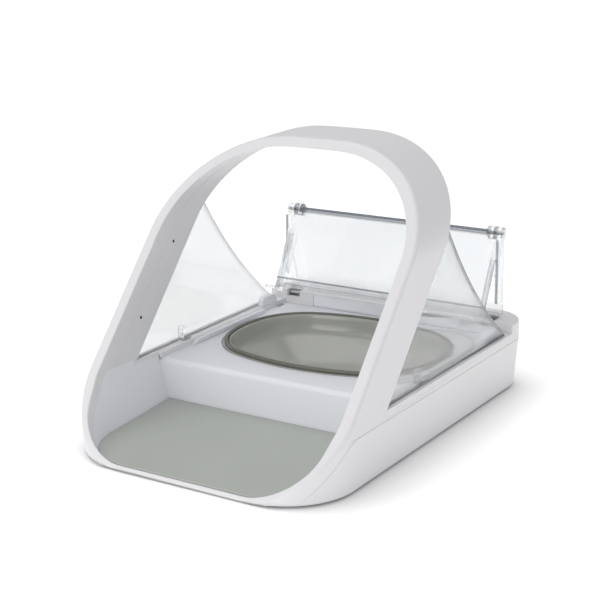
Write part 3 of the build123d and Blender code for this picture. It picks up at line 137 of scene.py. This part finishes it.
# %% A helper for plastic, rubber and metal
def finish(name, colour, rough, grain=900.0, bump=0.02, shift=0.03, gloss_shift=0.06, **more):
    """A material whose colour, gloss and fine relief vary a little over the surface."""
    made = bpy.data.materials.new(name)
    made.use_nodes = True
    tree = made.node_tree
    shader = tree.nodes["Principled BSDF"]
    place = tree.nodes.new("ShaderNodeTexCoord").outputs["Object"]

    def noise(scale, detail):
        pattern = tree.nodes.new("ShaderNodeTexNoise")
        pattern.inputs["Scale"].default_value = scale
        pattern.inputs["Detail"].default_value = detail
        tree.links.new(place, pattern.inputs["Vector"])
        return pattern.outputs["Fac"]

    broad = noise(14.0, 3.0)
    tint = tree.nodes.new("ShaderNodeValToRGB")
    tint.color_ramp.elements[0].position = 0.3
    tint.color_ramp.elements[1].position = 0.7
    tint.color_ramp.elements[0].color = [max(0, c * (1 - shift)) for c in colour] + [1]
    tint.color_ramp.elements[1].color = [min(1, c * (1 + shift / 2)) for c in colour] + [1]
    tree.links.new(broad, tint.inputs["Fac"])
    tree.links.new(tint.outputs["Color"], shader.inputs["Base Color"])
    wear = tree.nodes.new("ShaderNodeMapRange")
    wear.inputs["To Min"].default_value = max(0.02, rough - gloss_shift)
    wear.inputs["To Max"].default_value = rough + gloss_shift
    tree.links.new(noise(55.0, 5.0), wear.inputs["Value"])
    tree.links.new(wear.outputs["Result"], shader.inputs["Roughness"])
    relief = tree.nodes.new("ShaderNodeBump")
    relief.inputs["Strength"].default_value = bump
    relief.inputs["Distance"].default_value = 0.0003
    tree.links.new(noise(grain, 2.0), relief.inputs["Height"])
    tree.links.new(relief.outputs["Normal"], shader.inputs["Normal"])
    for socket, value in more.items():
        shader.inputs[socket.replace("_", " ")].default_value = value
    return made


# %% [markdown]
# The shell is glossy white plastic, so it is nearly white with a thin coat that gives the long soft
# reflections. The mat is rough and only a little green, and the bowl is smooth and mid grey. The
# clear parts let most light straight through and bend the rest, which keeps their shadows pale.

# %% The finishes of this feeder
shell = finish(
    "shell_white", (0.815, 0.81, 0.82), 0.34, bump=0.02, shift=0.012, Coat_Weight=0.15,
    Coat_Roughness=0.2,
)
deck = finish("deck_white", (0.85, 0.86, 0.90), 0.38, bump=0.025, shift=0.012)
mat_skin = finish("mat_grey_green", (0.47, 0.495, 0.46), 0.72, grain=2600, bump=0.22, shift=0.035)
bowl_skin = finish(
    "bowl_grey", (0.43, 0.44, 0.40), 0.2, grain=500, bump=0.012, shift=0.03, Coat_Weight=0.3,
    Coat_Roughness=0.1,
)
seal_skin = finish("seal_olive", (0.15, 0.15, 0.125), 0.45, grain=1800, bump=0.08)
dark = finish("black_plastic", (0.012, 0.013, 0.015), 0.18, bump=0.01)
metal = finish("steel", (0.42, 0.43, 0.45), 0.28, grain=1500, bump=0.05, shift=0.06, Metallic=1.0)
board_skin = finish("board_green", (0.02, 0.13, 0.055), 0.35, grain=700, bump=0.08, shift=0.12)
sleeve = finish("cell_jacket", (0.04, 0.042, 0.05), 0.3, shift=0.08)
winding = finish("coil_copper", (0.5, 0.19, 0.07), 0.3, grain=1200, bump=0.25, Metallic=0.9)
soft_grey = finish("rubber_grey", (0.085, 0.09, 0.095), 0.75, grain=2200, bump=0.2)
acetal = finish("drive_plastic", (0.66, 0.63, 0.55), 0.42, bump=0.03)
clear = finish(
    "clear_plastic", (0.83, 0.85, 0.86), 0.03, grain=60, bump=0.004, shift=0.01, gloss_shift=0.01,
    Transmission_Weight=1.0, IOR=1.45, Alpha=0.56,
)
# Painted shade: this dark grey stands in for the dark look that refraction gives the cut edges of clear
# plastic.
clear_edge_painted_shade = finish(
    "clear_plastic_painted_edge_shade", (0.17, 0.20, 0.24), 0.1, grain=60, bump=0.004, shift=0.1, gloss_shift=0.02,
    Transmission_Weight=0.35, IOR=1.45, Alpha=0.8,
)
finishes = {
    "shell_white": shell, "deck_white": deck, "mat_grey_green": mat_skin, "bowl_grey": bowl_skin,
    "seal_olive": seal_skin, "black_plastic": dark, "steel": metal, "board_green": board_skin,
    "cell_jacket": sleeve, "coil_copper": winding, "rubber_grey": soft_grey, "drive_plastic": acetal,
    "clear_plastic": clear,
}
print("finishes", len(finishes))

# %% [markdown]
# The floor is the only surface that isn't part of the feeder. It is a matt white sheet of paper with a barely
# visible tooth. It has a painted glow that keeps it white. An ambient occlusion node dims that glow close to
# the feeder, which paints the contact shadow so that it stays soft and is still seen.

# %% Paper for the floor
paper = finish("paper", (0.9, 0.9, 0.9), 0.9, grain=300, bump=0.05, shift=0.01, Specular_IOR_Level=0.1)
paper_shader = paper.node_tree.nodes["Principled BSDF"]
# Painted light: the floor glows white though it is no lamp.
paper_shader.inputs["Emission Color"].default_value = (1, 1, 1, 1)
# Painted contact shadow: ambient occlusion dims the floor's painted glow near the feeder.
occlusion_for_painted_shadow = paper.node_tree.nodes.new("ShaderNodeAmbientOcclusion")
occlusion_for_painted_shadow.inputs["Distance"].default_value = 0.05
painted_glow_and_shadow = paper.node_tree.nodes.new("ShaderNodeMapRange")
painted_glow_and_shadow.inputs["From Min"].default_value = 0.35
painted_glow_and_shadow.inputs["From Max"].default_value = 1.0
painted_glow_and_shadow.inputs["To Max"].default_value = 0.44
paper.node_tree.links.new(occlusion_for_painted_shadow.outputs["AO"], painted_glow_and_shadow.inputs["Value"])
paper.node_tree.links.new(painted_glow_and_shadow.outputs["Result"], paper_shader.inputs["Emission Strength"])
print("paper glow at most", painted_glow_and_shadow.inputs["To Max"].default_value)
floor_data.materials.append(paper)

# %% [markdown]
# ## Finishes on the CAD nodes
# The record names one material slot for each node. The same names are used here, so that the
# two models agree on what everything is made of.

# %% Dress every node
slots = {piece["node"]: piece["material_slot"] for piece in frame["record"]["subparts"]}
for name, node in nodes.items():
    if not node.data.materials:
        node.data.materials.append(None)
    for place in range(len(node.data.materials)):
        node.data.materials[place] = finishes[slots[name]]
print("dressed", len(slots))

# %% [markdown]
# ## Edges of the mouldings
# A moulding never has a knife edge. The CAD solids do, so copies of the mouldings get a small
# bevel on every edge, which also opens the fine joint lines between neighbours. On the hoop the
# edge between face and outer wall is a broad round, and that one is bevelled first.

# %% A copy of a CAD node with merged corners and whole flat faces
def merged_copy(name):
    """The mesh of a CAD node with its loose triangles joined and its flat faces made whole."""
    form = bmesh.new()
    form.from_mesh(nodes[name].data)
    bmesh.ops.remove_doubles(form, verts=form.verts, dist=2e-6)
    bmesh.ops.dissolve_limit(form, angle_limit=radians(0.4), verts=form.verts, edges=form.edges)
    return form


def place_copy(form, name, body, bevel, segments=2):
    """Make the finished mesh stand for its CAD node, with a fine bevel on its remaining edges."""
    data = bpy.data.meshes.new(name + "_soft")
    form.to_mesh(data)
    form.free()
    piece = bpy.data.objects.new(name + "_soft", data)
    bpy.context.collection.objects.link(piece)
    data.materials.append(finishes[slots[name]])
    data.shade_smooth()
    edge = piece.modifiers.new("edges", "BEVEL")
    edge.width = bevel
    edge.segments = segments
    edge.limit_method = "ANGLE"
    edge.angle_limit = radians(32)
    edge.miter_outer = "MITER_SHARP"
    edge.harden_normals = True
    even = piece.modifiers.new("even", "WEIGHTED_NORMAL")
    even.keep_sharp = True
    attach(piece, body)
    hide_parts(name)
    print(name, len(data.polygons), "faces")
    return piece


# %% The outer frame with its broad round
FACE_LEAN = radians(48.5)
FRONT_Y, FACE_LOW = -0.159, 0.0022
SAME_PLACE = 2e-5
face_normal = Vector((0, -sin(FACE_LEAN), cos(FACE_LEAN)))
face_foot = Vector((0, FRONT_Y, FACE_LOW))
face_middle = face_foot + 0.12 * Vector((0, cos(FACE_LEAN), sin(FACE_LEAN)))


def face_edges(form, outward):
    """Edges between the hoop's face and the walls on its outer or inner side."""
    found = []
    for edge in form.edges:
        if len(edge.link_faces) != 2:
            continue
        middle = (edge.verts[0].co + edge.verts[1].co) / 2
        if abs((middle - face_foot).dot(face_normal)) > SAME_PLACE:
            continue
        lean = [side.normal.dot(face_normal) for side in edge.link_faces]
        if max(lean) < 0.999 or min(lean) > 0.9:
            continue
        wall = edge.link_faces[lean.index(min(lean))]
        if (wall.normal.dot(middle - face_middle) > 0) == outward:
            found.append(edge)
    return found


JOINT_HEIGHT = 0.041
JOINT_START_Y = -0.09


def joint_edges(form, above):
    """Edges between the outer wall and the joint faces that neighbours share, over or under it."""
    found = []
    for edge in form.edges:
        if len(edge.link_faces) != 2:
            continue
        middle = (edge.verts[0].co + edge.verts[1].co) / 2
        if not 0.003 < middle.z < 0.0412:
            continue
        one, other = edge.link_faces
        for joint, wall in ((one, other), (other, one)):
            lies = joint.normal.z < -0.3 if above else joint.normal.z > 0.3
            mates = abs(joint.normal.x) < 0.02 and lies
            away = wall.normal.x * middle.x + wall.normal.y * middle.y > 0.03
            outside = away and abs(wall.normal.z) < 0.3
            on_line = abs(middle.z - JOINT_HEIGHT) < SAME_PLACE or middle.y < JOINT_START_Y
            if mates and outside and on_line:
                found.append(edge)
                break
    return found


def open_joint(form, above):
    """Cut a small square groove along the joint line, which reads as the dark gap of a real joint."""
    line = joint_edges(form, above)
    bmesh.ops.bevel(
        form, geom=line, offset=0.00045, offset_type="OFFSET", segments=3, profile=0.05,
        affect="EDGES", clamp_overlap=False, material=-1,
    )
    print("joint edges", len(line))


SEAM_BACK, SEAM_LOW = 0.0195, 0.051
INNER_SEAM_POINT = Vector((0, FRONT_Y + SEAM_BACK, FACE_LOW))


def open_inner_seam(form):
    """Cut the same groove along the seam on the inner wall of the hoop."""
    line = []
    for edge in form.edges:
        if len(edge.link_faces) != 2:
            continue
        middle = (edge.verts[0].co + edge.verts[1].co) / 2
        lean = sorted(abs(side.normal.dot(face_normal)) for side in edge.link_faces)
        on_seam = abs((middle - INNER_SEAM_POINT).dot(face_normal)) < SAME_PLACE
        if on_seam and lean[1] > 0.999 and lean[0] < 0.9 and middle.z > SEAM_LOW:
            line.append(edge)
    bmesh.ops.bevel(
        form, geom=line, offset=0.0004, offset_type="OFFSET", segments=3, profile=0.05,
        affect="EDGES", clamp_overlap=False, material=-1,
    )
    print("inner seam edges", len(line))


frame_form = merged_copy("outer_frame")
open_joint(frame_form, True)
open_inner_seam(frame_form)
for outward, width, steps in ((True, 0.0024, 5), (False, 0.0009, 3)):
    ring = face_edges(frame_form, outward)
    print("edges round the face", len(ring))
    bmesh.ops.bevel(
        frame_form, geom=ring, offset=width, offset_type="OFFSET", segments=steps, profile=0.5,
        affect="EDGES", clamp_overlap=False, material=-1,
    )
place_copy(frame_form, "outer_frame", "housing", 0.00045)

# %% [markdown]
# The other mouldings meet the frame at the joint line and at the seam inside the hoop, so they get
# the same grooves from their own side. The rest of their edges need only a fine bevel, which could
# be modelled by hand but is quicker and more even as a modifier.

# %% The other mouldings
tub_form = merged_copy("base_tub")
open_joint(tub_form, False)
place_copy(tub_form, "base_tub", "housing", 0.0003)
cover_form = merged_copy("hoop_cover")
open_inner_seam(cover_form)
place_copy(cover_form, "hoop_cover", "housing", 0.0004)
plate_form = merged_copy("rear_wall_plate")
bmesh.ops.bevel(
    plate_form, geom=plate_form.edges[:], offset=0.0005, offset_type="OFFSET", segments=2, profile=0.1,
    affect="EDGES", clamp_overlap=True, material=-1,
)
place_copy(plate_form, "rear_wall_plate", "housing", 0.0001)
for name, width in (
    ("tray_deck", 0.0006),
    ("deck_rail_left", 0.0008), ("deck_rail_right", 0.0008), ("bracket_left", 0.0006),
    ("bracket_right", 0.0006),
):
    place_copy(merged_copy(name), name, "housing", width)
place_copy(merged_copy("mat"), "mat", "mat", 0.0007, 3)

# %% [markdown]
# ## Bowl and seal
# The bowl is drawn from soft clay shapes in the photograph: a thin lip, a steep wall and a
# floor that meets it in one wide bend. A lathe can't turn an oval, but the idea is the same.
# A ring of points is carried down a profile, and each point moves along its own normal, so the
# wall keeps an even thickness all round.

# %% The oval and a wall that follows it
BOWL_MIDDLE_Y = 0.048
HALF_LONG, HALF_SHORT = 0.0935, 0.068
SIDE_RADIUS, FRONT_RADIUS, CORNER_RADIUS = 0.090, 0.180, 0.054
side_centre = HALF_LONG - SIDE_RADIUS
front_centre = HALF_SHORT - FRONT_RADIUS
front_reach = FRONT_RADIUS - CORNER_RADIUS
side_reach = SIDE_RADIUS - CORNER_RADIUS
gap = Vector((side_centre, -front_centre))
along = (front_reach**2 - side_reach**2 + gap.length_squared) / (2 * gap.length)
across = (front_reach**2 - along**2) ** 0.5
lean = gap.normalized()
corner_centre = Vector((0, front_centre)) + lean * along + Vector((-lean.y, lean.x)) * -across
corner_steep = atan2(corner_centre.y - front_centre, corner_centre.x)
corner_flat = atan2(corner_centre.y, corner_centre.x - side_centre)
print("corner centre", [round(value, 4) for value in corner_centre])


def on_oval(turn, inset):
    """A point of the bowl's outline for a direction of its normal, drawn in by an inset."""
    turned = (cos(turn), sin(turn))
    quarter = atan2(abs(turned[1]), abs(turned[0]))
    if quarter < corner_flat:
        centre, radius = (side_centre, 0), SIDE_RADIUS
    elif quarter < corner_steep:
        centre, radius = corner_centre, CORNER_RADIUS
    else:
        centre, radius = (0, front_centre), FRONT_RADIUS
    flip_x = -1 if turned[0] < 0 else 1
    flip_y = -1 if turned[1] < 0 else 1
    x = flip_x * centre[0] + (radius - inset) * turned[0]
    y = flip_y * centre[1] + (radius - inset) * turned[1]
    return x, y + BOWL_MIDDLE_Y


def oval_wall(profile, segments=112):
    """Carry a ring of points along a profile of (inset, height) steps, in millimetres."""
    form = bmesh.new()
    ring = bmesh.ops.create_circle(form, segments=segments, radius=1)["verts"]
    turns = {corner: atan2(corner.co.y, corner.co.x) for corner in ring}
    edges = form.edges[:]
    for step, (inset, height) in enumerate(profile):
        if step:
            grown = bmesh.ops.extrude_edge_only(form, edges=edges)["geom"]
            edges = [part for part in grown if isinstance(part, bmesh.types.BMEdge)]
            ring = [part for part in grown if isinstance(part, bmesh.types.BMVert)]
            for corner in ring:
                before = [side.other_vert(corner) for side in corner.link_edges]
                turns[corner] = next(turns[other] for other in before if other in turns and other not in ring)
        for corner in ring:
            x, y = on_oval(turns[corner], inset / 1000)
            corner.co = (x, y, height / 1000)
    return form


def whole_piece(form, name, body, slot, levels=1):
    """Close a form's doubled points, turn its faces outwards and place it on a body."""
    bmesh.ops.remove_doubles(form, verts=form.verts, dist=1e-6)
    bmesh.ops.recalc_face_normals(form, faces=form.faces)
    data = bpy.data.meshes.new(name)
    form.to_mesh(data)
    form.free()
    data.materials.append(finishes[slot])
    data.shade_smooth()
    piece = bpy.data.objects.new(name, data)
    bpy.context.collection.objects.link(piece)
    if levels:
        smooth = piece.modifiers.new("smooth", "SUBSURF")
        smooth.levels = levels
        smooth.render_levels = levels
    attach(piece, body)
    print(name, len(data.polygons), "faces")
    return piece


# %% The bowl
outside = [
    (30.0, 10.9), (23.0, 13.0), (17.0, 17.0), (12.0, 23.0), (8.9, 29.0), (7.2, 37.0), (6.4, 42.4),
    (5.8, 42.9), (1.0, 42.9), (0.5, 43.2), (0.5, 43.9), (1.0, 44.2), (5.0, 44.3),
]
inside = [
    (5.3, 45.6), (5.7, 46.2), (6.3, 46.2), (6.7, 45.4), (7.2, 42.0), (8.2, 36.0), (9.4, 32.4),
    (11.4, 30.2), (14.4, 28.4), (20.0, 25.0), (27.0, 20.6), (34.0, 16.6), (42.0, 13.8), (49.0, 12.8),
]
bowl_form = oval_wall([(49.0, 10.3)] + outside + inside)
floor_edges = [edge for edge in bowl_form.edges if edge.is_boundary]
bmesh.ops.holes_fill(bowl_form, edges=floor_edges)
bowl_piece = whole_piece(bowl_form, "bowl_round", "bowl", "bowl_grey")
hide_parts("bowl")

# %% [markdown]
# The seal is a soft dark ring that lies on the bowl's flange and meets the closed lid. Its section
# is a small closed loop, so the same walk along the oval makes it when the profile ends where it
# began.

# %% The seal
seal_form = oval_wall([
    (2.0, 44.3), (1.5, 44.6), (1.3, 46.2), (1.6, 47.0), (2.6, 47.4), (3.8, 47.4), (4.7, 46.9),
    (4.9, 46.2), (4.8, 44.6), (4.4, 44.3), (2.0, 44.3),
])
seal_piece = whole_piece(seal_form, "bowl_seal_ring", "bowl", "seal_olive")
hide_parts("bowl_seal")

# %% [markdown]
# ## Clear plates and lid
# Clear plastic is nearly invisible face on and looks dark along its cut edges, because light that enters
# there leaves somewhere else. The broad faces get the clear finish. On the narrow edge faces that dark look
# is painted shade, a greyer material that draws grey lines along the edges. A face's area divided by its
# longest edge gives its true width, however the panel leans.

# %% Painted edge shade on the clear parts
RIM_LENGTH, RIM_WIDTH = 0.02, 0.0025
KNUCKLE_FROM, KNUCKLE_TO, KNUCKLE_LOW = 0.08, 0.1, 0.118
KNUCKLE_AREA = 0.0001
FLANGE_TOP, PLATE_FROM = 0.047, 0.1078


def thin_rim(face):
    """True for the long narrow rims of a lid panel and for the ends where its knuckles meet."""
    longest = max(edge.calc_length() for edge in face.edges)
    rim = longest > RIM_LENGTH and face.calc_area() / longest < RIM_WIDTH
    middle = face.calc_center_median()
    in_knuckle = KNUCKLE_FROM < abs(middle.x) < KNUCKLE_TO and middle.z > KNUCKLE_LOW
    knuckle_end = abs(face.normal.x) > 0.9 and in_knuckle and face.calc_area() < KNUCKLE_AREA
    return rim or knuckle_end


def curved_rim(face):
    """True for the faces along the curved rear edge of a side plate, but not for its hook."""
    middle = face.calc_center_median()
    to_rear = abs(face.normal.x) < 0.3 and face.normal.y > 0.2
    return to_rear and middle.z > FLANGE_TOP and abs(middle.x) > PLATE_FROM


def clear_copy(name, body, is_rim):
    """A copy of a clear node whose rim faces get the painted edge shade."""
    form = merged_copy(name)
    # The rims and knuckle ends picked here get the painted edge shade.
    rims = [face for face in form.faces if is_rim(face)]
    for face in rims:
        face.material_index = 1
    piece = place_copy(form, name, body, 0.00025)
    piece.data.materials.append(clear_edge_painted_shade)
    print(name, "edge faces", len(rims))
    return piece


clear_copy("lid_rear_panel", "lid_rear", thin_rim)
clear_copy("lid_front_panel", "lid_front", thin_rim)
clear_copy("side_plate_left", "housing", curved_rim)
clear_copy("side_plate_right", "housing", curved_rim)

# %% [markdown]
# The hooks that catch the lid's pins stand up as small clear loops. The CAD hook has the exact
# seat for the pin, and this loop adds the upright lip in front of it: a flat strip that is
# extruded along a bend, then rounded.

# %% The upright lips of the hooks
LIP_X, LIP_WIDTH, LIP_THICK = 0.1060, 0.0050, 0.0016
LIP_Y, LIP_FOOT = -0.0142, 0.0505
LIP_PATH = (
    (-0.0142, 0.0545, 0), (-0.0139, 0.0570, -14), (-0.0128, 0.0586, -38), (-0.0112, 0.0594, -66),
)


def hook_lip(side):
    """A bent strip of clear plastic in front of the pin's seat."""
    form = bmesh.new()
    strip = bmesh.ops.create_grid(form, x_segments=1, y_segments=1, size=0.5)["verts"]
    for corner in strip:
        x = side * (LIP_X + LIP_WIDTH * corner.co.x)
        corner.co = (x, LIP_Y + LIP_THICK * corner.co.y, LIP_FOOT)
    strip_faces = form.faces[:]
    for y, z, turn in LIP_PATH:
        grown = bmesh.ops.extrude_face_region(form, geom=strip_faces)["geom"]
        strip_faces = [part for part in grown if isinstance(part, bmesh.types.BMFace)]
        corners = [part for part in grown if isinstance(part, bmesh.types.BMVert)]
        middle = sum((corner.co for corner in corners), Vector()) / len(corners)
        for corner in corners:
            across_strip = LIP_THICK / 2 if corner.co.y > middle.y else -LIP_THICK / 2
            corner.co.y = y + across_strip * cos(radians(turn))
            corner.co.z = z + across_strip * sin(radians(turn))
    bmesh.ops.recalc_face_normals(form, faces=form.faces)
    bmesh.ops.bevel(
        form, geom=form.edges[:], offset=0.0003, offset_type="OFFSET", segments=2, profile=0.5,
        affect="EDGES", clamp_overlap=True, material=-1,
    )
    name = "hook_lip_left" if side < 0 else "hook_lip_right"
    return whole_piece(form, name, "housing", "clear_plastic", levels=0)


hook_lip(-1)
hook_lip(1)
